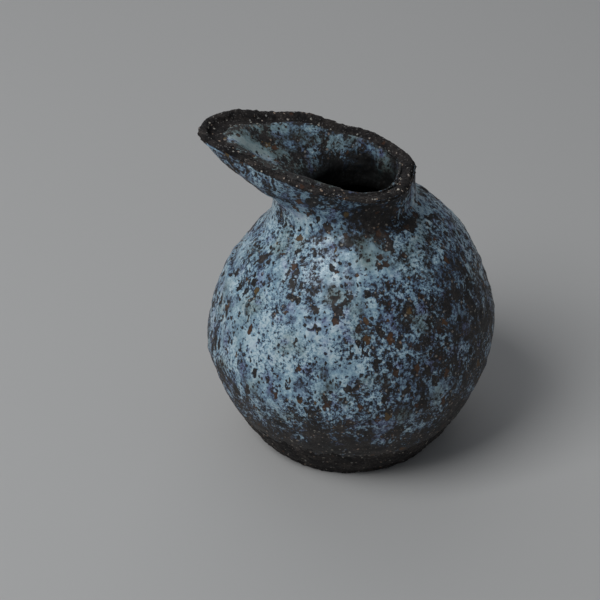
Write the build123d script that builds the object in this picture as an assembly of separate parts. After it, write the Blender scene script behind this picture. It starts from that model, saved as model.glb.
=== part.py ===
"""Small hand-built stoneware pitcher: a round belly on a flat foot, a short oval neck and a
flared lip drawn out to a pouring spout, with pale glaze over dark speckled clay.

Frame: millimetres, +Z up, origin at the centre of the foot's resting face. The spout points
along -X. The lip is a little uneven, fuller on the +Y side and more drawn on the -Y side, and
the rest is symmetric about the XZ plane. Five clay pieces are luted edge to edge and three glaze
coats lie on them. Each of the eight is a solid of its own.
"""

from build123d import *
from collections import namedtuple
import math
import os

# ---------------------------------------------------------------- belly, over the glaze
BELLY_RADIUS = 45.0       # at the widest line
WIDEST_HEIGHT = 33.5      # height of the widest line
DOME_RISE = 53.5          # from the widest line to the dome's pole, which the neck covers
DOME_FULLNESS = 1.85      # 2 gives an ellipse, less gives a firmer turn at the widest line
BOWL_DEPTH = 75.0         # from the widest line down to where the bowl would close
BOWL_FULLNESS = 1.27      # as the dome's
DOME_LEAN = 0.065         # sideways shift per height above the widest line, away from the spout

# ---------------------------------------------------------------- clay and glaze
WALL = 5.0                # belly wall, clay only
FLOOR = 6.0               # thickness of the foot slab
OUTER_GLAZE = 0.5
INNER_GLAZE = 0.4
GLAZE_LINE = 12.0         # the outer glaze stops at this height, above the bare foot
BARE_CREST = 1.8          # clay left bare below the lip's crest, outside and inside
BARE_SPOUT = 0.7          # the same inside the tip of the spout, where the channel is shallow
MOUTH_GLAZE_DEPTH = 12.0  # the mouth's glaze ends this far below the dome's pole
FOOT_ROUND = 1.6          # rounding of the foot's outer edge
LIP_ROUND_SHARE = 0.70    # share of the crest's width, at the spout, that its rounded edge takes

# ---------------------------------------------------------------- joints between clay pieces
SLAB_EDGE = 3.5           # height of the slab's outer edge, where its bevel begins
BELLY_SEAM = 28.0         # height of the seam between bowl and dome, on the outside
BEVEL_SLOPE = 0.8         # a scored bevel rises this much per radius, going inwards
SEAT_LEDGE = 2.0          # the opening cut for the neck is this much smaller than the neck

# ---------------------------------------------------------------- neck
NECK_LENGTH = 42.6        # at the waist, along X
NECK_WIDTH = 35.0         # at the waist, along Y
NECK_OFFSET = -2.3        # centre of the waist along X
WAIST_DROP_FRONT = 4.0    # waist below the dome's pole, spout side
WAIST_DROP_BACK = 2.6
NECK_WALL = 6.2
SPOUT_BASE = 5.0          # extra clay under the head of the spout's channel
COLLAR_SPREAD = 2.6       # the collar's foot is smeared out this far beyond the waist
COLLAR_SINK = 2.5         # the smeared foot runs this far into the dome
THROAT_DEPTH = 20.0       # length of the throat's straight cut
THROAT_TOP_DROP = 0.6     # the throat starts to open out this far below the dome's pole
NECK_SEAM_SHARE = 0.16    # the lip is luted on at this share of the flare

# ---------------------------------------------------------------- lip
SPOUT_REACH = 46.0        # axis to the tip of the spout, before its edge is rounded
BACK_REACH = 18.2         # axis to the back of the lip
SPOUT_RISE = 21.6         # waist to the tip of the spout
BACK_RISE = 8.0           # waist to the back of the lip
SPOUT_SIDESTEP = -1.2     # the tip of the spout along Y
BACK_SIDESTEP = 2.0       # the back of the lip along Y
LIP_FAR = 20.0            # half width of the lip on the +Y side
LIP_NEAR = 23.5           # and on the -Y side
FAR_SHARPNESS = -0.05     # 0 gives half an oval, more draws the side in towards the spout
NEAR_SHARPNESS = 0.60
RIM_WALL = 3.6            # width of the lip's crest, over the glaze

# Shares of the way from waist to crest: outwards, upwards, in width and in sharpness.
OUTER_FLARE = ((0.23, 0.26, 0.14, 0.14), (0.50, 0.45, 0.34, 0.30), (0.77, 0.68, 0.62, 0.60))
INNER_FLARE = ((0.18, 0.25, 0.12, 0.40), (0.48, 0.56, 0.36, 0.85), (0.78, 0.85, 0.68, 1.00))

BOWL_SECTIONS = 5
DOME_SECTIONS = 8
RING_POINTS = 16
FAR = 200.0               # larger than the pitcher, for cutting solids

POLE = WIDEST_HEIGHT + DOME_RISE

# A level of the neck: its points nearest to and furthest from the spout, and its two sides.
ENDS = "front_x front_y front_z back_x back_y back_z"
Level = namedtuple("Level", ENDS + " far near far_sharpness near_sharpness")


# ---------------------------------------------------------------- belly
def wall_radius(height):
    """Finished outer radius of the belly at a height."""
    if height >= WIDEST_HEIGHT:
        reach, fullness = DOME_RISE, DOME_FULLNESS
    else:
        reach, fullness = BOWL_DEPTH, BOWL_FULLNESS
    share = abs(height - WIDEST_HEIGHT) / reach
    return BELLY_RADIUS * max(1 - share**fullness, 0.0) ** (1 / fullness)


def dome_shift(height):
    """How far the dome's centre stands from the foot's at a height, along X."""
    return DOME_LEAN * max(height - WIDEST_HEIGHT, 0.0)


def dome_height(x):
    """Height of the dome's finished outside over a point on the X axis."""
    radius = abs(x - dome_shift(POLE))
    share = min(radius / BELLY_RADIUS, 1.0)
    return WIDEST_HEIGHT + DOME_RISE * (1 - share**DOME_FULLNESS) ** (1 / DOME_FULLNESS)


def wall_point(height, depth):
    """Radius and height of the point that lies depth inside the outer surface."""
    step = 0.05
    slope = (wall_radius(height + step) - wall_radius(height - step)) / (2 * step)
    length = math.hypot(1, slope)
    return wall_radius(height) - depth / length, height + depth * slope / length


def belly_solid(depth, floor=0.0):
    """Closed form of the belly, depth inside the finished outside, cut flat at floor."""
    start = -2 * FLOOR
    top = 0.965 * DOME_RISE
    levels = [start + (WIDEST_HEIGHT - start) * n / BOWL_SECTIONS for n in range(BOWL_SECTIONS)]
    for n in range(DOME_SECTIONS + 1):
        levels.append(WIDEST_HEIGHT + top * math.sin(math.pi / 2 * n / DOME_SECTIONS))
    rings = []
    for level in levels:
        radius, height = wall_point(level, depth)
        rings.append(Plane((dome_shift(height), 0, height)) * Circle(radius))
    return loft(rings) & above(floor)


# ---------------------------------------------------------------- neck and lip
def level_ends(level):
    """The points of a level nearest to and furthest from the spout."""
    front = Vector(level.front_x, level.front_y, level.front_z)
    return front, Vector(level.back_x, level.back_y, level.back_z)


def inset(level, amount):
    """The same level drawn in by amount all round, in its own plane."""
    front, back = level_ends(level)
    move = (back - front).normalized() * amount
    front, back = front + move, back - move
    sides = (level.far - amount, level.near - amount)
    return Level(*front, *back, *sides, level.far_sharpness, level.near_sharpness)


def raised(level, amount):
    """The same level moved up square to itself."""
    front, back = level_ends(level)
    move = (back - front).cross(Vector(0, 1, 0)).normalized() * amount
    front, back = front + move, back + move
    return Level(*front, *back, level.far, level.near, level.far_sharpness, level.near_sharpness)


def between(low, high, outwards, upwards, wider, sharper):
    """A level part of the way from low to high."""
    end = (outwards, outwards, upwards)
    shares = (*end, *end, wider, wider, sharper, sharper)
    return Level(*(a + (b - a) * share for a, b, share in zip(low, high, shares)))


def section(level):
    """Egg-shaped face of a level."""
    front, back = level_ends(level)
    centre = (front + back) / 2
    arm = (front - back) / 2
    points = []
    for n in range(RING_POINTS):
        turn = 2 * math.pi * n / RING_POINTS
        if n < RING_POINTS / 2:
            side, sharpness = level.far, level.far_sharpness
        else:
            side, sharpness = level.near, level.near_sharpness
        across = side * math.sin(turn) * (1 - sharpness * math.cos(turn))
        points.append(centre + arm * math.cos(turn) + Vector(0, across, 0))
    return make_face(Spline(*points, periodic=True))


def plain_level(front_x, front_z, back_x, back_z, half_width):
    """A level with the same oval half on each side."""
    return Level(front_x, 0.0, front_z, back_x, 0.0, back_z, half_width, half_width, 0.0, 0.0)


WAIST = plain_level(
    NECK_OFFSET - NECK_LENGTH / 2,
    POLE - WAIST_DROP_FRONT,
    NECK_OFFSET + NECK_LENGTH / 2,
    POLE - WAIST_DROP_BACK,
    NECK_WIDTH / 2,
)
COLLAR_FOOT = plain_level(
    WAIST.front_x - COLLAR_SPREAD,
    dome_height(WAIST.front_x - COLLAR_SPREAD) - COLLAR_SINK,
    WAIST.back_x + COLLAR_SPREAD,
    dome_height(WAIST.back_x + COLLAR_SPREAD) - COLLAR_SINK,
    WAIST.far + COLLAR_SPREAD,
)
CREST = Level(
    -SPOUT_REACH,
    SPOUT_SIDESTEP,
    WAIST.front_z + SPOUT_RISE,
    BACK_REACH,
    BACK_SIDESTEP,
    WAIST.back_z + BACK_RISE,
    LIP_FAR,
    LIP_NEAR,
    FAR_SHARPNESS,
    NEAR_SHARPNESS,
)
THROAT_TOP = plain_level(
    WAIST.front_x + NECK_WALL + SPOUT_BASE,
    POLE - THROAT_TOP_DROP,
    WAIST.back_x - NECK_WALL,
    POLE - THROAT_TOP_DROP,
    WAIST.far - NECK_WALL,
)


def neck_solid(depth):
    """Closed form of neck and lip, depth inside the finished outside."""
    levels = [COLLAR_FOOT, WAIST]
    levels += [between(WAIST, CREST, *shares) for shares in OUTER_FLARE]
    levels += [CREST]
    return loft([section(inset(level, depth)) for level in levels])


def lip_round():
    """Radius of the crest's outer edge, from how sharp that edge is at the tip of the spout."""
    front, back = level_ends(CREST)
    below = level_ends(between(WAIST, CREST, *OUTER_FLARE[-1]))[0]
    sharpness = math.radians((back - front).get_angle(below - front))
    return LIP_ROUND_SHARE * RIM_WALL * math.tan(sharpness / 2)


def throat_solid(depth):
    """Closed form of the throat and the channel above it, depth outside the finished inside."""
    crest = inset(CREST, RIM_WALL)
    levels = [THROAT_TOP]
    levels += [between(THROAT_TOP, crest, *shares) for shares in INNER_FLARE]
    levels += [crest, raised(inset(crest, -RIM_WALL / 3), RIM_WALL)]
    sections = [section(inset(level, -depth)) for level in levels]
    return loft(sections) + extrude(sections[0], THROAT_DEPTH, dir=(0, 0, -1))


# ---------------------------------------------------------------- cutting solids
def above(height):
    """Everything above a height."""
    return Pos(0, 0, height + FAR / 2) * Box(FAR, FAR, FAR)


def above_level(level):
    """Everything above the plane of a level, which crosses the pitcher from side to side."""
    front, back = level_ends(level)
    along = back - front
    plane = Plane(origin=(front + back) / 2, x_dir=along, z_dir=along.cross(Vector(0, 1, 0)))
    return plane * Pos(0, 0, FAR / 2) * Box(FAR, FAR, FAR)


def below_bevel(edge_height):
    """Everything below a cone that passes the belly's clay at a height and rises inwards."""
    edge_radius = wall_radius(edge_height) - OUTER_GLAZE
    axis_height = edge_height + edge_radius * BEVEL_SLOPE
    far_height = axis_height - FAR * BEVEL_SLOPE
    side = Polyline((0, far_height), (FAR, far_height), (0, axis_height), close=True)
    return revolve(Plane.XZ * make_face(side), Axis.Z)


def neck_seat():
    """The oval opening cut in the dome for the neck."""
    oval = Ellipse(NECK_LENGTH / 2 - SEAT_LEDGE, NECK_WIDTH / 2 - SEAT_LEDGE)
    return Pos(NECK_OFFSET, 0, POLE - THROAT_DEPTH) * extrude(oval, FAR)


# ---------------------------------------------------------------- the eight pieces
def build():
    """Name and solid of every piece."""
    clay = belly_solid(OUTER_GLAZE)
    hollow = belly_solid(OUTER_GLAZE + WALL, FLOOR) + throat_solid(INNER_GLAZE)
    lined = belly_solid(OUTER_GLAZE + WALL + INNER_GLAZE, FLOOR + INNER_GLAZE) + throat_solid(0)
    neck_clay = neck_solid(OUTER_GLAZE)
    seat = neck_seat()

    below_slab_edge = below_bevel(SLAB_EDGE)
    below_belly_seam = below_bevel(BELLY_SEAM)
    above_neck_seam = above_level(between(WAIST, CREST, NECK_SEAM_SHARE, NECK_SEAM_SHARE, 0, 0))
    above_bare_crest = above_level(raised(CREST, -BARE_CREST))
    above_bare_mouth = above_level(
        CREST._replace(front_z=CREST.front_z - BARE_SPOUT, back_z=CREST.back_z - BARE_CREST)
    )
    above_liner = above(POLE - MOUTH_GLAZE_DEPTH)

    slab = (clay - above(FLOOR)) & below_slab_edge
    foot_disc = fillet(slab.edges().group_by(Axis.Z)[0], FOOT_ROUND)
    shell = clay - hollow - slab
    lower_wall = shell & below_belly_seam
    upper_dome = shell - below_belly_seam - seat
    neck = neck_clay - (clay - seat) - hollow
    neck_collar = neck - above_neck_seam
    lip = neck & above_neck_seam
    crest = lip.faces().filter_by(GeomType.PLANE).sort_by(Axis.Z)[-1]
    outer_edge = crest.edges().sort_by(SortBy.LENGTH)[-1]
    spout_rim = fillet(outer_edge, lip_round())

    outside = belly_solid(0) + neck_solid(0)
    outer_glaze = (outside - clay - neck_clay - above_bare_crest) & above(GLAZE_LINE)
    inner_glaze = hollow - lined - above_bare_mouth
    return {
        "foot_disc": foot_disc,
        "lower_wall": lower_wall,
        "upper_dome": upper_dome,
        "neck_collar": neck_collar,
        "spout_rim": spout_rim,
        "outer_glaze": outer_glaze,
        "mouth_glaze": inner_glaze & above_liner,
        "liner_glaze": inner_glaze - above_liner,
    }


os.makedirs("parts", exist_ok=True)
for name, piece in build().items():
    export_step(piece, f"parts/{name}.step")
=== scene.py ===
"""Looks of the stoneware pitcher: rough dark clay under broken pale blue glaze.

Shapes are worked out in millimetres in the part's own frame: +Z up, the spout towards -X,
origin at the centre of the foot. Each piece is a closed skin of rings, swept up the pot.
"""

import math

import bpy
import numpy as np
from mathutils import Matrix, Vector, noise


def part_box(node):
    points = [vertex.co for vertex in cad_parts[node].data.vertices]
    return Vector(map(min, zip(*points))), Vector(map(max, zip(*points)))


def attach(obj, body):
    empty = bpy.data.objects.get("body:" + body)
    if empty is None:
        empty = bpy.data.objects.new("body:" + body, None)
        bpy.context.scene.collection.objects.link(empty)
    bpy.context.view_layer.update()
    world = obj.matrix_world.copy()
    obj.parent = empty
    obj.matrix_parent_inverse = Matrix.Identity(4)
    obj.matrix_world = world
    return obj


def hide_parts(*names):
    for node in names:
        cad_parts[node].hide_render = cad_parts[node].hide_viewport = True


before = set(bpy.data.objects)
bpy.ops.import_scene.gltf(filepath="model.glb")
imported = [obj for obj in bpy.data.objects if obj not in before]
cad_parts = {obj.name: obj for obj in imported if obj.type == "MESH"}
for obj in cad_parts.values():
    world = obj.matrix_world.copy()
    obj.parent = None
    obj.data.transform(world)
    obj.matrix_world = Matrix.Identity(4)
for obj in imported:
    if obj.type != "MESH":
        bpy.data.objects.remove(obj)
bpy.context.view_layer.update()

MM = 0.001

# ---------------------------------------------------------------- sizes, in millimetres
glaze_low, glaze_high = (np.array(corner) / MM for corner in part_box("outer_glaze"))
foot_low, foot_high = (np.array(corner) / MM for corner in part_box("foot_disc"))

BELLY_RADIUS = (glaze_high[1] - glaze_low[1]) / 2
WIDEST_HEIGHT = 33.5
DOME_RISE = 53.5
DOME_FULLNESS = 1.85
BOWL_DEPTH = 75.0
BOWL_FULLNESS = 1.27
DOME_LEAN = 0.065
POLE = WIDEST_HEIGHT + DOME_RISE

GLAZE = 0.5               # the clay lies this far under the finished outside
LINER = 0.4
WALL = 5.0
FLOOR = foot_high[2]
FOOT_ROUND = 1.6
SLAB_EDGE = 3.5
BELLY_SEAM = 28.0
GLAZE_FOOT = glaze_low[2]

AROUND = 400              # points round every ring
ANGLE = np.linspace(0, 2 * math.pi, AROUND, endpoint=False)   # 0 is the spout
COS = np.cos(ANGLE)
SIN = np.sin(ANGLE)


# ---------------------------------------------------------------- the pot's true shape
def wall_radius(height):
    """Outer radius of the belly at a height."""
    above = height >= WIDEST_HEIGHT
    reach = DOME_RISE if above else BOWL_DEPTH
    fullness = DOME_FULLNESS if above else BOWL_FULLNESS
    share = min(abs(height - WIDEST_HEIGHT) / reach, 1.0)
    return BELLY_RADIUS * (1 - share**fullness) ** (1 / fullness)


def dome_shift(height):
    """How far the dome's centre stands from the foot's, along X."""
    return DOME_LEAN * max(height - WIDEST_HEIGHT, 0.0)


def wall_point(height, depth):
    """Radius and height of the point that lies depth inside the outer surface."""
    step = 0.05
    slope = (wall_radius(height + step) - wall_radius(height - step)) / (2 * step)
    length = math.hypot(1, slope)
    return wall_radius(height) - depth / length, height + depth * slope / length


def dome_height(x, y):
    """Height of the dome's outside over points of the plan."""
    radius = np.hypot(x - dome_shift(POLE - 8), y)
    share = np.clip(radius / BELLY_RADIUS, 0, 1)
    return WIDEST_HEIGHT + DOME_RISE * (1 - share**DOME_FULLNESS) ** (1 / DOME_FULLNESS)


def circle(height, depth=0.0):
    """Ring of the belly at a height, depth inside its outside."""
    radius, level = wall_point(height, depth)
    x = dome_shift(level) - radius * COS
    return np.stack([x, radius * SIN, np.full(AROUND, level)], axis=1)


def plain_ring(radius, height, centre=0.0):
    """Level ring of a radius."""
    return np.stack([centre - radius * COS, radius * SIN, np.full(AROUND, height)], axis=1)


def egg(front, back, far, near, far_sharpness=0.0, near_sharpness=0.0):
    """Ring of the neck or lip, from its points at the spout and opposite it, and its two sides."""
    front, back = np.array(front), np.array(back)
    side = np.where(SIN >= 0, far, near)
    sharpness = np.where(SIN >= 0, far_sharpness, near_sharpness)
    ring = (front + back) / 2 + COS[:, None] * (front - back) / 2
    ring[:, 1] += side * SIN * (1 - sharpness * COS)
    return ring


def plain_egg(front_x, front_z, back_x, back_z, half_width):
    """The measures of an egg with both sides alike."""
    return (front_x, 0.0, front_z), (back_x, 0.0, back_z), half_width, half_width, 0.0, 0.0


def shrink(measures, inset, drop=0.0):
    """An egg's measures drawn in by inset in its own plane and lowered by drop."""
    front, back = np.array(measures[0]), np.array(measures[1])
    along = (back - front) / np.linalg.norm(back - front)
    down = -np.cross(along, (0, 1, 0))
    down *= drop / np.linalg.norm(down)
    front, back = front + along * inset + down, back - along * inset + down
    return front, back, measures[2] - inset, measures[3] - inset, *measures[4:]


NECK_OFFSET = -2.3        # centre of the waist along X
NECK_REACH = 21.3         # half the waist's length
NECK_HALF_WIDTH = 17.5
THROAT_TOP = POLE - 0.6
THROAT_HALF_WIDTH = 11.3
WAIST = plain_egg(
    NECK_OFFSET - NECK_REACH, POLE - 4.0, NECK_OFFSET + NECK_REACH, POLE - 2.6, NECK_HALF_WIDTH
)
THROAT = plain_egg(-12.4, THROAT_TOP, 12.8, THROAT_TOP, THROAT_HALF_WIDTH)
# The crest: its points at the spout and opposite it, its far and near sides, their sharpness.
CREST = ((-45.5, -1.2, 105.0), (18.2, 2.0, 92.6), 20.0, 23.5, -0.05, 0.60)
RIM_WALL = 3.6            # width of the crest
# Shares of the way from waist to crest: outwards, upwards, in width and in sharpness.
OUTER_FLARE = ((0.23, 0.26, 0.14, 0.14), (0.50, 0.45, 0.34, 0.30), (0.77, 0.68, 0.62, 0.60))
INNER_FLARE = ((0.18, 0.25, 0.12, 0.40), (0.48, 0.56, 0.36, 0.85), (0.78, 0.85, 0.68, 1.00))
COLLAR_SPREAD = 3.4       # the neck's foot is smeared out this far beyond the waist


def between(low, high, outwards, upwards, wider, sharper):
    """An egg's measures part of the way from low to high."""
    end = np.array([outwards, outwards, upwards])
    parts = [np.array(a) + (np.array(b) - np.array(a)) * end for a, b in zip(low[:2], high[:2])]
    for a, b, share in zip(low[2:], high[2:], (wider, wider, sharper, sharper)):
        parts.append(a + (b - a) * share)
    return parts


def outside_rings():
    """Rings up the outside, from the foot's edge to the middle of the lip's crest."""
    flat_radius = wall_radius(0) - GLAZE - FOOT_ROUND
    turn_radius = FOOT_ROUND + GLAZE
    rings = []
    for turn in (0, 30, 60, 90):
        a = math.radians(turn)
        radius = flat_radius + turn_radius * math.sin(a)
        rings.append(plain_ring(radius, FOOT_ROUND - turn_radius * math.cos(a)))
    rings += [circle(height) for height in np.arange(5.0, 59.0, 3.5)]
    last = rings[-1]
    foot_line = egg(*shrink(WAIST, -COLLAR_SPREAD))
    for share in (0.2, 0.4, 0.6, 0.8, 0.93, 1.0):
        x = last[:, 0] + (foot_line[:, 0] - last[:, 0]) * share
        y = last[:, 1] + (foot_line[:, 1] - last[:, 1]) * share
        rings.append(np.stack([x, y, dome_height(x, y)], axis=1))
    waist = egg(*WAIST)
    step_up = 0.45 * rings[-1] + 0.55 * waist
    step_up[:, 0] += 0.28 * (waist[:, 0] - rings[-1][:, 0])
    step_up[:, 1] += 0.28 * (waist[:, 1] - rings[-1][:, 1])
    rings += [step_up, waist]
    rings += [egg(*between(WAIST, CREST, *shares)) for shares in OUTER_FLARE]
    rings.append(egg(*between(WAIST, CREST, 0.91, 0.87, 0.86, 0.84)))
    for inset, drop in ((0.0, 1.3), (0.35, 0.45), (1.1, 0.05), (RIM_WALL / 2, 0.0)):
        rings.append(egg(*shrink(CREST, inset, drop)))
    return np.array(rings)


def inside_rings():
    """Rings down the inside, from the middle of the crest to the belly's floor."""
    rings = []
    for inset, drop in ((RIM_WALL / 2, 0.0), (2.7, 0.4), (RIM_WALL, 1.4)):
        rings.append(egg(*shrink(CREST, inset, drop)))
    for shares in reversed(INNER_FLARE):
        rings.append(egg(*between(THROAT, shrink(CREST, RIM_WALL), *shares)))
    rings.append(egg(*THROAT))
    for height, spread in ((83.0, 0.0), (80.5, 0.1), (78.6, 1.0), (77.4, 3.4)):
        rings.append(egg(*shrink(THROAT, -spread, THROAT[0][2] - height)))
    depth = GLAZE + WALL + LINER
    rings += [circle(height, depth) for height in (78.0, 73.0, 66.0, 57.0, 46.0, 34.0, 24.0, 14.0)]
    edge = wall_point(FLOOR, depth)[0]
    rings += [plain_ring(edge - 1.2, FLOOR + 1.4), plain_ring(edge - 4.5, FLOOR + 0.5)]
    rings += [plain_ring(edge * 0.5, FLOOR + LINER), plain_ring(0.5, FLOOR + LINER)]
    return np.array(rings)


def spline_rows(rings, places):
    """Rings at places along a smooth sweep through key rings. A whole number is a key ring."""
    gaps = np.linalg.norm(np.diff(rings, axis=0), axis=2).mean(axis=1)
    slopes = np.diff(rings, axis=0) / gaps[:, None, None]
    tangents = np.empty_like(rings)
    tangents[0], tangents[-1] = slopes[0], slopes[-1]
    weight = (gaps[1:] / (gaps[:-1] + gaps[1:]))[:, None, None]
    tangents[1:-1] = slopes[:-1] * weight + slopes[1:] * (1 - weight)
    places = np.clip(np.asarray(places, float), 0, len(rings) - 1)
    k = np.minimum(places.astype(int), len(rings) - 2)
    s = (places - k)[:, None, None]
    span = gaps[k][:, None, None]
    a, b = rings[k], rings[k + 1]
    ta, tb = tangents[k] * span, tangents[k + 1] * span
    return (
        (2 * s**3 - 3 * s**2 + 1) * a
        + (s**3 - 2 * s**2 + s) * ta
        + (3 * s**2 - 2 * s**3) * b
        + (s**3 - s**2) * tb
    )


def even_places(rings, first, last, spacing):
    """Places from one key ring to another, about spacing apart on the surface."""
    gaps = np.linalg.norm(np.diff(rings, axis=0), axis=2).mean(axis=1)
    knots = np.concatenate([[0], np.cumsum(gaps)])
    start, end = np.interp([first, last], range(len(knots)), knots)
    count = max(int(round((end - start) / spacing)), 1) + 1
    return np.interp(np.linspace(start, end, count), knots, range(len(knots)))


OUTSIDE = outside_rings()
INSIDE = inside_rings()
CREST_ROW = len(OUTSIDE) - 1


# ---------------------------------------------------------------- hand-made unevenness
SWAY = 1.1                # how far the wall wanders slowly in and out
SWAY_LENGTH = 34.0
PINCH_LENGTH = 13.0       # size of the pinch marks, which grow deeper on the lip
NECK_TOP = 86.0           # the pinch marks start to deepen here
BELLY_MIDDLE = 45.0
STEADY_BELOW = 9.0        # the unevenness fades out below this, so that the foot stays flat
# Soft bulges left by the potter's fingers: x, y, z, reach, height.
BULGES = (
    (-18.0, 18.0, 101.0, 11.0, 1.0),
    (-8.0, 19.0, 98.0, 8.0, 0.5),
    (8.0, 16.0, 94.5, 9.0, 1.1),
    (-34.0, 12.0, 103.0, 7.0, 0.7),
    (-2.0, -20.0, 92.0, 9.0, 0.5),
    (-33.0, -8.0, 66.0, 12.0, 0.8),
    (-30.0, -20.0, 68.0, 11.0, 0.6),
)


UNEVENNESS_SEED = 5       # the pot comes out the same every time
noise.seed_set(UNEVENNESS_SEED)


def wobble(points):
    """Points moved by the low, slow unevenness of a pinched pot. The foot stays flat."""
    moved = points.copy()
    flat = points.reshape(-1, 3)
    shifts = np.empty_like(flat)
    for n, p in enumerate(flat):
        slow = noise.noise_vector(Vector(p / SWAY_LENGTH) + Vector((7.3, 1.9, 4.4)))
        quick = noise.noise_vector(Vector(p / PINCH_LENGTH) + Vector((2.1, 8.8, 0.7)))
        pinch = 0.35 + 0.65 * min(max((p[2] - NECK_TOP) / 12.0, 0.0), 1.0)
        shifts[n] = np.array(slow) * SWAY + np.array(quick) * pinch
    for x, y, z, reach, height in BULGES:
        away = flat - np.array([x, y, z])
        share = np.exp(-np.sum(away**2, axis=1) / reach**2)
        out = flat - np.array([0, 0, BELLY_MIDDLE])
        out /= np.linalg.norm(out, axis=1)[:, None]
        shifts += out * (share * height)[:, None]
    hold = np.clip(flat[:, 2] / STEADY_BELOW, 0, 1)
    hold = hold * hold * (3 - 2 * hold)
    return (flat + shifts * hold[:, None]).reshape(moved.shape)


def normals_of(rows):
    """Outward unit normals of a grid of rings that runs up the outside and down the inside."""
    along = np.gradient(rows, axis=0)
    around = np.roll(rows, -1, axis=1) - np.roll(rows, 1, axis=1)
    normal = np.cross(along, around)
    length = np.linalg.norm(normal, axis=2)
    length[length == 0] = 1
    return normal / length[:, :, None]


def skin(rings, places, depth=0.0):
    """Wobbled rows of a sweep at places, depth under its surface, with their normals."""
    rows = wobble(spline_rows(rings, places))
    normal = normals_of(rows)
    return rows - normal * depth, normal


def rough(points, scale, octaves, seed):
    """Noise from about -1 to 1 at points, with lumps about scale across."""
    offset = Vector((seed * 3.7, seed * 1.3, seed * 5.1))
    flat = points.reshape(-1, 3)
    values = [noise.fractal(Vector(p / scale) + offset, 0.6, 2.0, octaves) for p in flat]
    return np.array(values).reshape(points.shape[:-1])


def pits(points, spacing, size, seed):
    """0 on the skin, falling to -1 at the middle of scattered round pits."""
    offset = Vector((seed * 2.3, seed * 4.1, seed * 0.9))
    flat = points.reshape(-1, 3)
    nearest = np.array([noise.voronoi(Vector(p / spacing) + offset)[0][0] for p in flat])
    inside = np.clip(1 - nearest * spacing / size, 0, 1)
    return -(inside * inside * (3 - 2 * inside)).reshape(points.shape[:-1])


# ---------------------------------------------------------------- closed meshes
def make_piece(name, rings, nodes, fields=None, poles=False):
    """A closed mesh through rings: a loop of them, or a run with its two ends closed to a point."""
    count, around = rings.shape[:2]
    points = rings.reshape(-1, 3)
    spans = count - 1 if poles else count
    j, i = np.meshgrid(np.arange(spans), np.arange(around), indexing="ij")
    up, on = (j + 1) % count, (i + 1) % around
    quads = np.stack([j * around + i, up * around + i, up * around + on, j * around + on], axis=-1)
    faces = quads.reshape(-1, 4).tolist()
    if poles:
        first, last = rings[0].mean(axis=0), rings[-1].mean(axis=0)
        points = np.concatenate([points, [first, last]])
        low, high = count * around, count * around + 1
        top = (count - 1) * around
        for n in range(around):
            on = (n + 1) % around
            faces.append((low, n, on))
            faces.append((high, top + on, top + n))
    mesh = bpy.data.meshes.new(name)
    mesh.from_pydata((points * MM).tolist(), [], faces)
    mesh.polygons.foreach_set("use_smooth", [True] * len(mesh.polygons))
    for field, values in (fields or {}).items():
        attribute = mesh.attributes.new(field, "FLOAT", "POINT")
        values = values.reshape(-1)
        if poles:
            values = np.concatenate([values, [values[0], values[-1]]])
        attribute.data.foreach_set("value", values.astype(np.float32))
    mesh.update()
    piece = bpy.data.objects.new(name, mesh)
    bpy.context.collection.objects.link(piece)
    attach(piece, "root")
    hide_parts(*nodes)
    return piece


def place_at_height(rings, height, first, last):
    """Place between two key rings where the sweep's ring reaches a height at the spout side."""
    places = np.linspace(first, last, 600)
    heights = spline_rows(rings[:, :1], places)[:, 0, 2]
    if heights[0] > heights[-1]:
        places, heights = places[::-1], heights[::-1]
    return float(np.interp(height, heights, places))


def ease(values, low, high):
    """0 below low, 1 above high, smooth between."""
    share = np.clip((values - low) / (high - low), 0, 1)
    return share * share * (3 - 2 * share)


# Key rings that the pieces share.
COLLAR_LINE = CREST_ROW - 10
WAIST_ROW = CREST_ROW - 8
THROAT_ROW = 6
CEILING = 10.6
MOUTH_TOP_ROW = 2.6
LINER_TOP_ROW = 11.3
NECK_SEAM = WAIST_ROW + 0.55
INNER_SEAM = THROAT_ROW + 0.2
SEAT_LEDGE = 2.0          # the opening for the neck is this much smaller than the waist
CREST_ROUGHNESS = 1.25    # the bare crest is this much rougher than the other bare clay

slab_edge = place_at_height(OUTSIDE, SLAB_EDGE, 2, 8)
belly_seam = place_at_height(OUTSIDE, BELLY_SEAM, 3, 14)
glaze_foot = place_at_height(OUTSIDE, GLAZE_FOOT - 1.5, 3, 9)
inner_belly_seam = place_at_height(INSIDE, BELLY_SEAM + 3.6, 12, 20)
inner_slab_edge = place_at_height(INSIDE, FLOOR + 1.2, 17, 21)


def clay_depth_outside(places):
    """How far the clay lies under the finished outside: flush only at the bare crest."""
    return (GLAZE - (GLAZE - 0.1) * ease(places, CREST_ROW - 3.5, CREST_ROW - 2.6))[:, None, None]


def clay_depth_inside(places):
    """The same for the inside."""
    return (0.1 + (LINER - 0.1) * ease(places, 1.8, 3.0))[:, None, None]


def clay_outside(first, last, spacing, roughness=0.0):
    """Rows of the clay's outside between two places."""
    places = even_places(OUTSIDE, first, last, spacing)
    rows, normal = skin(OUTSIDE, places, clay_depth_outside(places))
    if roughness:
        rows = rows + normal * (clay_relief(rows) * roughness)[:, :, None]
    return rows


def clay_inside(first, last, spacing, roughness=0.0):
    """Rows of the clay's inside between two places."""
    places = even_places(INSIDE, first, last, spacing)
    rows, normal = skin(INSIDE, places, clay_depth_inside(places))
    if roughness:
        rows = rows + normal * (clay_relief(rows) * roughness)[:, :, None]
    return rows


def clay_relief(rows):
    """Grog lumps and torn pits of bare clay, in millimetres."""
    lumps = rough(rows, 3.2, 3, 1)
    grog = rough(rows, 1.3, 2, 2)
    return 0.28 * lumps + 0.16 * grog + 0.22 * pits(rows, 3.0, 1.3, 3)


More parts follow.
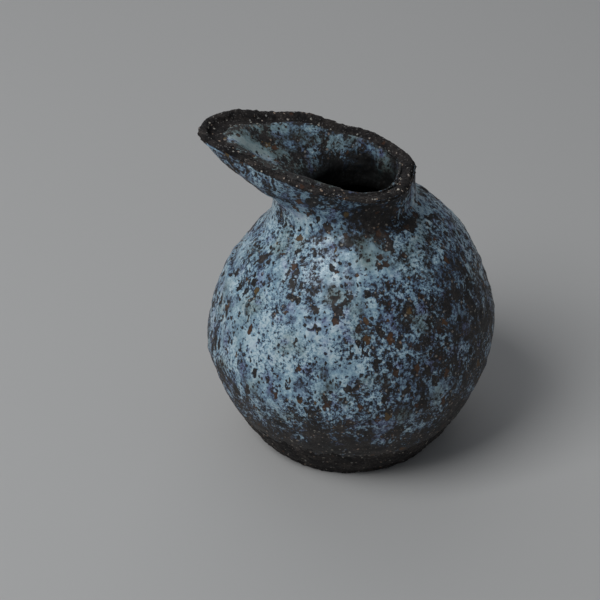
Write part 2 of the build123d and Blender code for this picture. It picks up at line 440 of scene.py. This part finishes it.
def seat_rings():
    """Two rings of the oval opening that the collar sits in: at the dome's outside and ceiling."""
    oval = egg(*shrink(WAIST, SEAT_LEDGE))
    oval[:, 2] = dome_height(oval[:, 0], oval[:, 1]) - 1.0
    ceiling = spline_rows(INSIDE, [CEILING])[0]
    return wobble(np.array([oval])), wobble(np.array([ceiling]))


def build_foot_disc():
    """The slab the pot stands on: flat below, bevelled above to take the wall."""
    under = [plain_ring(wall_radius(0) * share, 0.0) for share in (0.04, 0.25, 0.5, 0.75, 0.9)]
    edge = clay_outside(0, slab_edge, 0.5, 1.0)
    top = [plain_ring(wall_radius(0) - 5.0, FLOOR), plain_ring(8.0, FLOOR)]
    edge[:, :, 2] = np.maximum(edge[:, :, 2], 0.0)
    rings = np.concatenate([under, edge, top])
    return make_piece("foot_disc_clay", rings, ["foot_disc"], poles=True)


def build_lower_wall():
    """The bowl, from the slab to the firm turn of the belly."""
    bare = clay_outside(slab_edge, glaze_foot + 1.2, 0.55, 1.0)
    hidden = clay_outside(glaze_foot + 1.2, belly_seam, 1.5)[1:]
    inner = clay_inside(inner_belly_seam, inner_slab_edge, 2.0)
    return make_piece("lower_wall_clay", np.concatenate([bare, hidden, inner]), ["lower_wall"])


def build_upper_dome():
    """The shoulder, from the firm turn to the opening for the neck."""
    outer = clay_outside(belly_seam, COLLAR_LINE, 1.6)
    seat, ceiling = seat_rings()
    inner = clay_inside(CEILING, inner_belly_seam, 2.0)[1:]
    rings = np.concatenate([outer, seat, ceiling, inner])
    return make_piece("upper_dome_clay", rings, ["upper_dome"])


def build_neck_collar():
    """The oval neck, seated in the dome's opening and smeared out over the shoulder."""
    outer = clay_outside(COLLAR_LINE, NECK_SEAM, 0.9)
    inner = clay_inside(INNER_SEAM, CEILING, 0.9)[:-1]
    seat, ceiling = seat_rings()
    rings = np.concatenate([outer, inner, ceiling, seat])
    return make_piece("neck_collar_clay", rings, ["neck_collar"])


def build_spout_rim():
    """The flared lip and spout, with its bare pinched crest."""
    outer = clay_outside(NECK_SEAM, CREST_ROW - 4, 1.1)
    crest_out = clay_outside(CREST_ROW - 4, CREST_ROW, 0.4, CREST_ROUGHNESS)[1:]
    crest_in = clay_inside(0, 3.4, 0.42, CREST_ROUGHNESS)[1:]
    inner = clay_inside(3.4, INNER_SEAM, 1.0)[1:]
    rings = np.concatenate([outer, crest_out, crest_in, inner])
    return make_piece("spout_rim_clay", rings, ["spout_rim"])


# ---------------------------------------------------------------- glaze
# Places where the outside coat pooled or ran thin, some thinned further as painted shade: the place, its
# reach, the change in thickness.
CHEEK = ((-24.0, -30.0, 50.0), 18.0, 0.14)          # below the spout, well covered
THIN_AND_SHADED_FLANK = ((32.0, -22.0, 50.0), 26.0, -0.42)      # the flank away from the spout and the light: thinner glaze, thinned further as painted shade
LOW_FLANK = ((-10.0, -40.0, 24.0), 12.0, -0.12)     # the bowl below the widest line
PAINTED_LIP_SHADOW = ((6.0, -15.0, POLE - 3.0), 7.0, -0.85)  # painted shadow of the lip: the fold below the neck thinned to nearly bare dark clay

UNDER_EDGE_LINE = 0.35    # extra glaze in the pale line under the near edge of the spout
UNDER_EDGE_DROP = 2.0     # the line lies this far below the glaze's upper edge
UNDER_EDGE_WIDTH = 1.0
STREAK_SIDE = 1.0         # the run in the spout's channel, along Y
STREAK_WIDTH = 2.8
STREAK_THICKNESS = 1.1
FAR_WALL_THICKNESS = 0.30  # extra glaze on the far wall of the mouth
SHADE_TOP = 92.5          # the painted shade in the throat starts here
SHADE_BOTTOM = 86.5       # and is nearly full here
FADE_DIP = 0.14           # where the outside coat fades out, its skin dips this far under the clay


def near(rows, place, reach):
    """1 at a place, fading away over reach."""
    return np.exp(-np.sum((rows - np.array(place)) ** 2, axis=2) / reach**2)


def channel_run(rows):
    """1 along the glaze run in the spout's channel, 0 elsewhere."""
    x, y, z = np.moveaxis(rows, 2, 0)
    across = np.exp(-(((y - STREAK_SIDE) / STREAK_WIDTH) ** 2))
    return across * ease(-x, 20, 26) * ease(z, 89, 93)


def glaze_cover(rows, base):
    """How thickly the glaze lies, about 0 to 1: base, drifting slowly and mottled finely."""
    slow = 0.13 * rough(rows, 16.0, 2, 11) + 0.07 * rough(rows, 6.0, 2, 12)
    return base + slow + 0.10 * rough(rows, 3.4, 2, 13)


def outer_pooling_and_painted_shade(rows, left):
    """Where the outside coat lies thicker or thinner, and where it is thinned as painted shade. left is
    the way up to its upper edge.
    """
    x, y = rows[:, :, 0], rows[:, :, 1]
    line = np.exp(-(((left - UNDER_EDGE_DROP) / UNDER_EDGE_WIDTH) ** 2))
    change = UNDER_EDGE_LINE * line * ease(-x, 16, 24) * ease(-y, 5, 9)
    for place, reach, amount in (CHEEK, THIN_AND_SHADED_FLANK, LOW_FLANK, PAINTED_LIP_SHADOW):
        change = change + amount * near(rows, place, reach)
    return change


def inner_pooling(rows):
    """Where the inside coat lies thicker: the run in the channel and the far wall of the mouth."""
    y, z = rows[:, :, 1], rows[:, :, 2]
    far_wall = ease(y, 7, 12) * ease(z, 90, 93)
    return STREAK_THICKNESS * channel_run(rows) + FAR_WALL_THICKNESS * far_wall


def build_outer_glaze():
    """The outside coat: lumpy, pitted, thinning to nothing above the foot and below the crest."""
    last = CREST_ROW - 2.7
    places = even_places(OUTSIDE, glaze_foot, last, 0.66)
    rows, normal = skin(OUTSIDE, places)
    height = rows[:, :, 2]
    drift = rough(rows, 9.0, 2, 21)
    base = 0.34 * ease(height + 6 * drift, 12, 22) + 0.45 * ease(height + 10 * drift, 18, 42)
    base = base - 0.25 - 0.20 * ease(height, 84, 91)
    relief = 0.26 * rough(rows, 5.5, 2, 22) + 0.20 * rough(rows, 2.1, 2, 23)
    gaps = np.linalg.norm(np.diff(rows, axis=0), axis=2)
    run = np.concatenate([np.zeros((1, AROUND)), np.cumsum(gaps, axis=0)])
    left = run[-1] - run
    cover = glaze_cover(rows, base) + outer_pooling_and_painted_shade(rows, left)
    relief += 0.20 * pits(rows, 4.2, 1.7, 24) + 0.10 * np.clip(cover - 0.5, -0.3, 0.4)
    ragged = 1.2 * drift
    taper = ease(run, 0.3 + ragged, 8.0 + ragged) * ease(left, 0.05, 1.3)
    depth = (GLAZE + FADE_DIP) * (1 - taper) - relief * taper
    outer = rows - normal * depth[:, :, None]
    cover = cover * (0.45 + 0.55 * taper)
    under = skin(OUTSIDE, even_places(OUTSIDE, glaze_foot, last, 3.0), GLAZE + 0.35)[0][::-1]
    rings = np.concatenate([outer, under])
    fields = {"cover": np.concatenate([cover, np.zeros(under.shape[:2])])}
    return make_piece("outer_glaze_coat", rings, ["outer_glaze"], fields)


def build_inner_glaze(name, node, first, last, spacing, base):
    """A coat on the inside between two places, thinning to nothing at its upper edge."""
    places = even_places(INSIDE, first, last, spacing)
    rows, normal = skin(INSIDE, places)
    cover = glaze_cover(rows, base) + inner_pooling(rows)
    drift = rough(rows, 6.0, 2, 34)
    green = 0.9 * channel_run(rows)
    relief = 0.14 * rough(rows, 4.0, 2, 31) + 0.12 * rough(rows, 1.7, 2, 32)
    relief += 0.12 * pits(rows, 4.0, 1.4, 33)
    gaps = np.linalg.norm(np.diff(rows, axis=0), axis=2)
    run = np.concatenate([np.zeros((1, AROUND)), np.cumsum(gaps, axis=0)])
    at_crest = first < THROAT_ROW
    taper = ease(run, 0.1, 1.8) if at_crest else np.ones_like(run)
    depth = (LINER + 0.12) * (1 - taper) - relief * taper
    outer = rows - normal * depth[:, :, None]
    count = max(len(places) // 4, 3)
    back = skin(INSIDE, np.linspace(first, last, count), LINER + 0.25)[0][::-1]
    rings = np.concatenate([outer, back])
    if at_crest:
        cover = cover * (0.2 + 0.8 * ease(run + 2.5 * drift, 0.6, 4.6))
    unseen = np.zeros(back.shape[:2])
    # Painted shade deep in the throat, kept in the depth field: nearly black from SHADE_TOP down to
    # SHADE_BOTTOM, with a ragged upper line.
    shade_line = -rings[:, :, 2] - 3.0 * np.concatenate([drift, unseen])
    fields = {
        "cover": np.concatenate([cover, unseen]),
        "green": np.concatenate([green, unseen]),
        "depth": 0.96 * ease(shade_line, -SHADE_TOP, -SHADE_BOTTOM),
    }
    return make_piece(name, rings, [node], fields)


# ---------------------------------------------------------------- material building blocks
def add(tree, kind, settings=None, inputs=None):
    """Adds a node. inputs gives each socket, by name or number, a value or another node's socket."""
    node = tree.nodes.new(kind)
    for key, value in (settings or {}).items():
        setattr(node, key, value)
    for key, value in (inputs or {}).items():
        if isinstance(value, bpy.types.NodeSocket):
            tree.links.new(value, node.inputs[key])
        else:
            node.inputs[key].default_value = value
    return node


def calc(tree, operation, a, b=0.0):
    """One arithmetic step."""
    return add(tree, "ShaderNodeMath", {"operation": operation}, {0: a, 1: b}).outputs[0]


def times(tree, a, b):
    """Product of two values."""
    return calc(tree, "MULTIPLY", a, b)


def move(tree, operation, inputs):
    """One step of arithmetic on a position."""
    return add(tree, "ShaderNodeVectorMath", {"operation": operation}, inputs).outputs[0]


def remap(tree, value, low, high, to_low=0.0, to_high=1.0):
    """Eased change of range."""
    inputs = {"Value": value, "From Min": low, "From Max": high, "To Min": to_low, "To Max": to_high}
    return add(tree, "ShaderNodeMapRange", {"interpolation_type": "SMOOTHSTEP"}, inputs).outputs["Result"]


def blend(tree, share, a, b):
    """Mix of two colours."""
    node = add(tree, "ShaderNodeMix", {"data_type": "RGBA"})
    for number, value in ((0, share), (6, a), (7, b)):
        if isinstance(value, bpy.types.NodeSocket):
            tree.links.new(value, node.inputs[number])
        elif number == 0:
            node.inputs[number].default_value = value
        else:
            node.inputs[number].default_value = (*value, 1.0)
    return node.outputs[2]


def ramp(tree, value, stops):
    """Colours along a value."""
    node = add(tree, "ShaderNodeValToRGB", None, {0: value})
    band = node.color_ramp
    while len(band.elements) < len(stops):
        band.elements.new(1.0)
    for element, (place, colour) in zip(band.elements, stops):
        element.position = place
        element.color = (*colour, 1.0)
    return node.outputs[0]


def cloud(tree, where, size, detail=2.0, harshness=0.5, shift=0.0, stretch=None):
    """Soft noise from 0 to 1 with lumps about size across, in millimetres."""
    offset = (shift * 17.3, shift * 9.1, shift * 5.7)
    scale = stretch or (1.0, 1.0, 1.0)
    scale = tuple(part / size for part in scale)
    moved = add(tree, "ShaderNodeMapping", None, {"Vector": where, "Location": offset, "Scale": scale})
    settings = {"noise_dimensions": "3D"}
    inputs = {"Vector": moved.outputs[0], "Scale": 1.0, "Detail": detail, "Roughness": harshness}
    return add(tree, "ShaderNodeTexNoise", settings, inputs).outputs["Fac"]


def new_group(name, inputs, outputs):
    """An empty shader node group with named sockets."""
    tree = bpy.data.node_groups.new(name, "ShaderNodeTree")
    kinds = {"value": "NodeSocketFloat", "colour": "NodeSocketColor", "vector": "NodeSocketVector"}
    for socket, kind in inputs:
        tree.interface.new_socket(socket, in_out="INPUT", socket_type=kinds[kind])
    for socket, kind in outputs:
        tree.interface.new_socket(socket, in_out="OUTPUT", socket_type=kinds[kind])
    return tree, tree.nodes.new("NodeGroupInput").outputs, tree.nodes.new("NodeGroupOutput").inputs


def use(tree, group, **inputs):
    """Places a group in a material or in another group."""
    named = {key.replace("_", " "): value for key, value in inputs.items()}
    node = add(tree, "ShaderNodeGroup", {"node_tree": group}, named)
    return node.outputs


CLAY_TONES = (
    (0.30, (0.005, 0.004, 0.005)),
    (0.46, (0.014, 0.012, 0.012)),
    (0.58, (0.038, 0.031, 0.028)),
    (0.75, (0.110, 0.088, 0.078)),
)
GRIT_TONES = ((0.0, (0.60, 0.54, 0.45)), (0.5, (0.45, 0.44, 0.42)), (1.0, (0.52, 0.36, 0.26)))
FINE_GRIT = (0.22, 0.21, 0.20)
CLAY_RUST = (0.085, 0.034, 0.017)
# The glaze from where it barely covers the clay to where it lies thickest.
GLAZE_TONES = (
    (0.10, (0.010, 0.010, 0.013)),
    (0.24, (0.024, 0.031, 0.052)),
    (0.38, (0.090, 0.142, 0.230)),
    (0.54, (0.225, 0.365, 0.480)),
    (0.76, (0.380, 0.550, 0.640)),
    (1.00, (0.600, 0.730, 0.790)),
)
RUST_TONES = ((0.6, (0.075, 0.030, 0.014)), (0.85, (0.15, 0.060, 0.020)), (1.0, (0.20, 0.13, 0.045)))
GREEN_GLAZE = (0.175, 0.235, 0.205)
VIOLET_GLAZE = (0.20, 0.20, 0.42)
THROAT_SHADE = (0.0008, 0.0008, 0.0008)


def speckle_group():
    """Scattered ragged specks: where they are, and a number of its own for each."""
    inputs = [("Where", "vector"), ("Spacing", "value"), ("Share", "value")]
    inputs += [("Size", "value"), ("Ragged", "value")]
    tree, given, result = new_group("Speckle", inputs, [("Mask", "value"), ("Own Number", "value")])
    per = calc(tree, "DIVIDE", 1.0, given["Spacing"])
    scaled = move(tree, "SCALE", {0: given["Where"], "Scale": per})
    warp = add(tree, "ShaderNodeTexNoise", None, {"Vector": scaled, "Scale": 2.4, "Detail": 1.0})
    centred = move(tree, "SUBTRACT", {0: warp.outputs["Color"], 1: (0.5, 0.5, 0.5)})
    pushed = move(tree, "SCALE", {0: centred, "Scale": given["Ragged"]})
    place = move(tree, "ADD", {0: scaled, 1: pushed})
    cells = add(tree, "ShaderNodeTexVoronoi", {"feature": "F1"}, {"Vector": place, "Scale": 1.0})
    own = add(tree, "ShaderNodeSeparateColor", None, {"Color": cells.outputs["Color"]})
    there = calc(tree, "LESS_THAN", own.outputs[0], given["Share"])
    size = calc(tree, "MULTIPLY", given["Size"], remap(tree, own.outputs[1], 0.0, 1.0, 0.45, 1.0))
    edge = calc(tree, "MULTIPLY", size, 0.6)
    mask = remap(tree, cells.outputs["Distance"], size, edge)
    tree.links.new(calc(tree, "MULTIPLY", mask, there), result["Mask"])
    tree.links.new(own.outputs[2], result["Own Number"])
    return tree


def clay_group(speckle):
    """Dark iron-rich clay full of pale grog."""
    outputs = [("Colour", "colour"), ("Roughness", "value"), ("Height", "value")]
    tree, given, result = new_group("Dark clay", [("Where", "vector"), ("Grit", "value")], outputs)
    where, grit = given["Where"], given["Grit"]
    patchy = cloud(tree, where, 7.0, 3.0, 0.6)
    grainy = cloud(tree, where, 0.9, 3.0, 0.7, 1)
    tone = times(tree, calc(tree, "ADD", patchy, grainy), 0.5)
    colour = ramp(tree, tone, CLAY_TONES)
    rust = use(tree, speckle, Where=where, Spacing=3.1, Share=0.25, Size=0.3, Ragged=0.5)
    colour = blend(tree, times(tree, rust["Mask"], 0.6), colour, CLAY_RUST)
    fine = use(tree, speckle, Where=where, Spacing=0.7, Share=0.55, Size=0.40, Ragged=0.4)
    colour = blend(tree, times(tree, fine["Mask"], times(tree, grit, 0.5)), colour, FINE_GRIT)
    coarse = use(tree, speckle, Where=where, Spacing=1.3, Share=0.55, Size=0.38, Ragged=0.4)
    pale = ramp(tree, coarse["Own Number"], GRIT_TONES)
    colour = blend(tree, times(tree, coarse["Mask"], grit), colour, pale)
    lumps = times(tree, cloud(tree, where, 1.1, 4.0, 0.65, 2), 0.9)
    bumps = calc(tree, "ADD", lumps, times(tree, coarse["Mask"], 0.14))
    tree.links.new(colour, result["Colour"])
    tree.links.new(remap(tree, tone, 0.3, 0.75, 0.95, 0.72), result["Roughness"])
    tree.links.new(bumps, result["Height"])
    return tree


def glaze_group(speckle, clay):
    """Pale blue glaze that breaks to the dark clay where it lies thin, with painted shade deep in the
    throat.
    """
    inputs = [("Where", "vector"), ("Cover", "value"), ("Green", "value"), ("Depth", "value")]
    outputs = [("Colour", "colour"), ("Roughness", "value"), ("Height", "value"), ("Glassy", "value")]
    tree, given, result = new_group("Broken glaze", inputs, outputs)
    where = given["Where"]
    broken = remap(tree, cloud(tree, where, 13.0, 2.0, 0.5, 8), 0.38, 0.60, 1.3, 3.6)
    fine = calc(tree, "SUBTRACT", cloud(tree, where, 1.05, 4.0, 0.75, 3), 0.5)
    lace = times(tree, fine, broken)
    tall = add(tree, "ShaderNodeMapping", None, {"Vector": where, "Scale": (1.0, 1.0, 0.6)}).outputs[0]
    coarse = calc(tree, "SUBTRACT", cloud(tree, where, 4.2, 3.0, 0.6, 4, (1.0, 1.0, 0.5)), 0.5)
    mottle = times(tree, coarse, 1.8)
    thick = calc(tree, "ADD", calc(tree, "ADD", given["Cover"], lace), mottle)
    dust = use(tree, speckle, Where=where, Spacing=0.8, Share=0.55, Size=0.46, Ragged=0.7)
    pepper = use(tree, speckle, Where=where, Spacing=1.5, Share=0.60, Size=0.48, Ragged=0.7)
    spots = use(tree, speckle, Where=tall, Spacing=2.9, Share=0.62, Size=0.46, Ragged=0.8)
    blots = use(tree, speckle, Where=tall, Spacing=6.5, Share=0.55, Size=0.44, Ragged=1.3)
    specks = ((dust["Mask"], 0.30), (pepper["Mask"], 0.55), (spots["Mask"], 0.95), (blots["Mask"], 0.70))
    for mask, depth in specks:
        thick = calc(tree, "SUBTRACT", thick, times(tree, mask, depth))
    glaze = ramp(tree, thick, GLAZE_TONES)
    greenness = calc(tree, "ADD", cloud(tree, where, 11.0, 2.0, 0.5, 5), given["Green"])
    green = remap(tree, greenness, 0.50, 0.80)
    teal = blend(tree, 0.62, glaze, GREEN_GLAZE)
    violet = blend(tree, 0.35, glaze, VIOLET_GLAZE)
    glaze = blend(tree, green, glaze, teal)
    glaze = blend(tree, remap(tree, cloud(tree, where, 6.0, 2.0, 0.5, 6), 0.55, 0.75), glaze, violet)
    body = use(tree, clay, Where=where, Grit=0.55)
    covered = remap(tree, thick, 0.08, 0.24)
    colour = blend(tree, covered, body["Colour"], glaze)
    rust = times(tree, spots["Mask"], remap(tree, spots["Own Number"], 0.62, 0.80))
    rust_colour = ramp(tree, spots["Own Number"], RUST_TONES)
    colour = blend(tree, times(tree, rust, 0.55), colour, rust_colour)
    # Painted shade: the glaze turns nearly black deep in the throat.
    colour = blend(tree, given["Depth"], colour, THROAT_SHADE)
    tree.links.new(colour, result["Colour"])
    tree.links.new(remap(tree, thick, 0.2, 0.7, 0.62, 0.34), result["Roughness"])
    height = calc(tree, "ADD", times(tree, covered, 0.16), times(tree, body["Height"], 0.22))
    height = calc(tree, "SUBTRACT", height, times(tree, spots["Mask"], 0.12))
    height = calc(tree, "ADD", height, times(tree, cloud(tree, where, 2.0, 3.0, 0.6, 7), 0.35))
    tree.links.new(height, result["Height"])
    tree.links.new(covered, result["Glassy"])
    return tree


def start_material(name):
    """A material, its Principled BSDF and the part's position in millimetres."""
    material = bpy.data.materials.new(name)
    material.use_nodes = True
    tree = material.node_tree
    shader = tree.nodes["Principled BSDF"]
    place = add(tree, "ShaderNodeTexCoord")
    to_mm = (1 / MM, 1 / MM, 1 / MM)
    where = add(tree, "ShaderNodeMapping", None, {"Vector": place.outputs["Object"], "Scale": to_mm})
    return material, tree, shader, where.outputs[0]


def finish_shader(tree, shader, finish, bump, distance):
    """Joins a group's colour, roughness and height to the shader."""
    tree.links.new(finish["Colour"], shader.inputs["Base Color"])
    tree.links.new(finish["Roughness"], shader.inputs["Roughness"])
    inputs = {"Height": finish["Height"], "Strength": bump, "Distance": distance * MM}
    tree.links.new(add(tree, "ShaderNodeBump", None, inputs).outputs[0], shader.inputs["Normal"])


def clay_material(name, clay, grit, bump):
    """Bare matte clay."""
    material, tree, shader, where = start_material(name)
    finish_shader(tree, shader, use(tree, clay, Where=where, Grit=grit), bump, 0.5)
    shader.inputs["Specular IOR Level"].default_value = 0.3
    return material


def glaze_material(name, glaze, green, bump):
    """Glaze, as thick as the piece's own cover field says, with painted shade where its depth field says.
    """
    material, tree, shader, where = start_material(name)
    cover = add(tree, "ShaderNodeAttribute", {"attribute_name": "cover"}).outputs["Fac"]
    # The depth field is painted shade: it turns the glaze nearly black deep in the throat.
    depth = add(tree, "ShaderNodeAttribute", {"attribute_name": "depth"}).outputs["Fac"]
    streak = add(tree, "ShaderNodeAttribute", {"attribute_name": "green"}).outputs["Fac"]
    greening = calc(tree, "ADD", streak, green)
    finish = use(tree, glaze, Where=where, Cover=cover, Green=greening, Depth=depth)
    finish_shader(tree, shader, finish, bump, 0.5)
    tree.links.new(times(tree, finish["Glassy"], 0.25), shader.inputs["Coat Weight"])
    shader.inputs["Coat Roughness"].default_value = 0.25
    shader.inputs["Specular IOR Level"].default_value = 0.45
    return material


# ---------------------------------------------------------------- the pot
def dress(piece, material):
    """Gives a piece its one finish."""
    piece.data.materials.clear()
    piece.data.materials.append(material)


speckle = speckle_group()
clay = clay_group(speckle)
glaze = glaze_group(speckle, clay)

dress(build_foot_disc(), clay_material("foot_clay_bare", clay, 0.45, 0.8))
body_clay = clay_material("body_clay_bare", clay, 0.45, 0.8)
dress(build_lower_wall(), body_clay)
dress(build_upper_dome(), body_clay)
dress(build_neck_collar(), body_clay)
dress(build_spout_rim(), clay_material("rim_clay_bare", clay, 0.9, 0.9))
dress(build_outer_glaze(), glaze_material("outer_glaze_blue", glaze, 0.0, 0.9))
mouth = build_inner_glaze(
    "mouth_glaze_coat", "mouth_glaze", MOUTH_TOP_ROW, LINER_TOP_ROW, 0.55, 0.10
)
dress(mouth, glaze_material("mouth_glaze_grey", glaze, 0.2, 0.8))
liner = build_inner_glaze(
    "liner_glaze_coat", "liner_glaze", LINER_TOP_ROW, len(INSIDE) - 1.0, 1.6, 0.45
)
dress(liner, glaze_material("liner_glaze_grey", glaze, 0.1, 0.4))


# ---------------------------------------------------------------- floor, light and camera
VIEW_AIM = (-0.0157, 0, 0.045)
VIEW_DISTANCE = 0.443
VIEW_ELEVATION = 34.0     # degrees down
VIEW_FIELD = 24.0         # degrees across
LIGHT_AIM = (0, 0, 0.04)


def build_floor():
    """A plain pale floor."""
    size = 3.0
    mesh = bpy.data.meshes.new("floor")
    corners = [(-size, -size, 0), (size, -size, 0), (size, size, 0), (-size, size, 0)]
    mesh.from_pydata(corners, [], [(0, 1, 2, 3)])
    floor = bpy.data.objects.new("floor", mesh)
    floor.location.z = -0.05 * MM
    bpy.context.collection.objects.link(floor)
    material = bpy.data.materials.new("floor_plain")
    material.use_nodes = True
    shader = material.node_tree.nodes["Principled BSDF"]
    shader.inputs["Base Color"].default_value = (0.60, 0.585, 0.57, 1.0)
    shader.inputs["Roughness"].default_value = 0.9
    mesh.materials.append(material)


def area_light(name, place, aim, size, power, colour):
    """A square soft light."""
    light = bpy.data.lights.new(name, "AREA")
    light.size = size
    light.energy = power
    light.color = colour
    lamp = bpy.data.objects.new(name, light)
    lamp.location = place
    lamp.rotation_euler = (Vector(aim) - Vector(place)).to_track_quat("-Z", "Y").to_euler()
    bpy.context.collection.objects.link(lamp)


def build_camera(aim, distance, elevation, field):
    """The view: azimuth 0, looking along +Y and down."""
    camera = bpy.data.cameras.new("camera")
    camera.sensor_width = 36.0
    camera.angle = math.radians(field)
    eye = bpy.data.objects.new("camera", camera)
    rise = math.radians(elevation)
    eye.location = Vector(aim) + distance * Vector((0, -math.cos(rise), math.sin(rise)))
    eye.rotation_euler = (math.radians(90 - elevation), 0, 0)
    bpy.context.collection.objects.link(eye)
    bpy.context.scene.camera = eye


build_floor()
area_light("window", (-0.70, -0.45, 1.05), LIGHT_AIM, 0.7, 8.5, (0.95, 0.98, 1.0))
area_light("room", (-0.2, 1.2, 0.9), LIGHT_AIM, 1.5, 3.0, (0.97, 0.98, 1.0))
world = bpy.data.worlds.new("room_air")
world.use_nodes = True
air = world.node_tree.nodes["Background"].inputs
air["Color"].default_value = (0.85, 0.92, 1.0, 1.0)
air["Strength"].default_value = 0.14
bpy.context.scene.world = world
bpy.context.scene.view_settings.view_transform = "Standard"
build_camera(VIEW_AIM, VIEW_DISTANCE, VIEW_ELEVATION, VIEW_FIELD)
